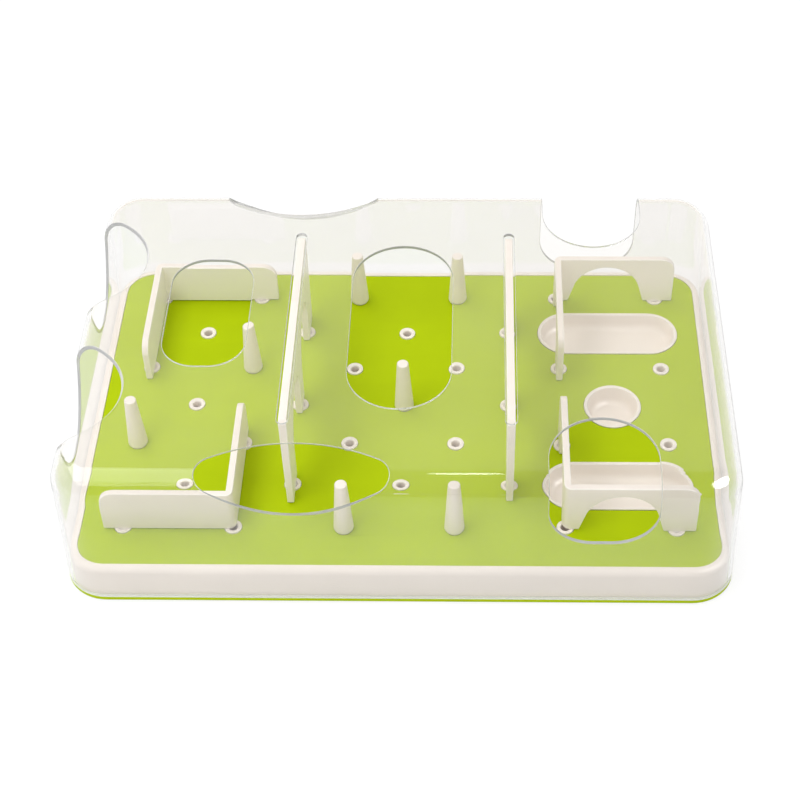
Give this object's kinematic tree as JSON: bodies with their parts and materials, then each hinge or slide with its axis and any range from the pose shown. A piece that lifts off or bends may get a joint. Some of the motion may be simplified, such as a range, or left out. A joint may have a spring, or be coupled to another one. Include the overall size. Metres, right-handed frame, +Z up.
{
  "type": "cat puzzle feeder",
  "caption": "Tray feeder with plug-in pegs, corner walls and dividers under a clear lift-off cover whose edges and top are cut open for a paw.",
  "frame": {"origin": "on the table, under the middle of the footprint", "axes": "+X to the right along the long side, +Y to the back, +Z up"},
  "size_m": [0.387, 0.259, 0.0958],
  "materials": {
    "lime_plastic": "fine satin",
    "white_plastic": "satin",
    "clear_plastic": "clear, polished",
    "foot_rubber": "matt"
  },
  "bodies": {
    "base": {"base_plate": "lime_plastic", "rubber_feet": "foot_rubber", "tray": "white_plastic", "floor_panel": "lime_plastic"},
    "cover": {"cover": "clear_plastic"},
    "divider_left": {"divider_left": "white_plastic"},
    "divider_right": {"divider_right": "white_plastic"},
    "wall_back_left": {"wall_back_left": "white_plastic"},
    "wall_front_left": {"wall_front_left": "white_plastic"},
    "arch_wall_back_right": {"arch_wall_back_right": "white_plastic"},
    "arch_wall_front_right": {"arch_wall_front_right": "white_plastic"},
    "peg_back_left": {"peg_back_left": "white_plastic"},
    "peg_back_right": {"peg_back_right": "white_plastic"},
    "peg_left_rear": {"peg_left_rear": "white_plastic"},
    "peg_left_front": {"peg_left_front": "white_plastic"},
    "peg_centre": {"peg_centre": "white_plastic"},
    "peg_front_left": {"peg_front_left": "white_plastic"},
    "peg_front_right": {"peg_front_right": "white_plastic"}
  },
  "joints": [
    {"name": "cover_lift", "type": "slide", "parent": "base", "child": "cover", "axis": [0, 0, 1], "range_m": [0, 0.1]},
    {"name": "divider_left_lift", "type": "slide", "parent": "base", "child": "divider_left", "axis": [0, 0, 1], "range_m": [0, 0.085]},
    {"name": "divider_right_lift", "type": "slide", "parent": "base", "child": "divider_right", "axis": [0, 0, 1], "range_m": [0, 0.085]},
    {"name": "wall_back_left_lift", "type": "slide", "parent": "base", "child": "wall_back_left", "axis": [0, 0, 1], "range_m": [0, 0.02]},
    {"name": "wall_front_left_lift", "type": "slide", "parent": "base", "child": "wall_front_left", "axis": [0, 0, 1], "range_m": [0, 0.02]},
    {"name": "arch_wall_back_right_lift", "type": "slide", "parent": "base", "child": "arch_wall_back_right", "axis": [0, 0, 1], "range_m": [0, 0.02]},
    {"name": "arch_wall_front_right_lift", "type": "slide", "parent": "base", "child": "arch_wall_front_right", "axis": [0, 0, 1], "range_m": [0, 0.02]},
    {"name": "peg_back_left_lift", "type": "slide", "parent": "base", "child": "peg_back_left", "axis": [0, 0, 1], "range_m": [0, 0.02]},
    {"name": "peg_back_right_lift", "type": "slide", "parent": "base", "child": "peg_back_right", "axis": [0, 0, 1], "range_m": [0, 0.02]},
    {"name": "peg_left_rear_lift", "type": "slide", "parent": "base", "child": "peg_left_rear", "axis": [0, 0, 1], "range_m": [0, 0.02]},
    {"name": "peg_left_front_lift", "type": "slide", "parent": "base", "child": "peg_left_front", "axis": [0, 0, 1], "range_m": [0, 0.02]},
    {"name": "peg_centre_lift", "type": "slide", "parent": "base", "child": "peg_centre", "axis": [0, 0, 1], "range_m": [0, 0.02]},
    {"name": "peg_front_left_lift", "type": "slide", "parent": "base", "child": "peg_front_left", "axis": [0, 0, 1], "range_m": [0, 0.02]},
    {"name": "peg_front_right_lift", "type": "slide", "parent": "base", "child": "peg_front_right", "axis": [0, 0, 1], "range_m": [0, 0.02]}
  ]
}
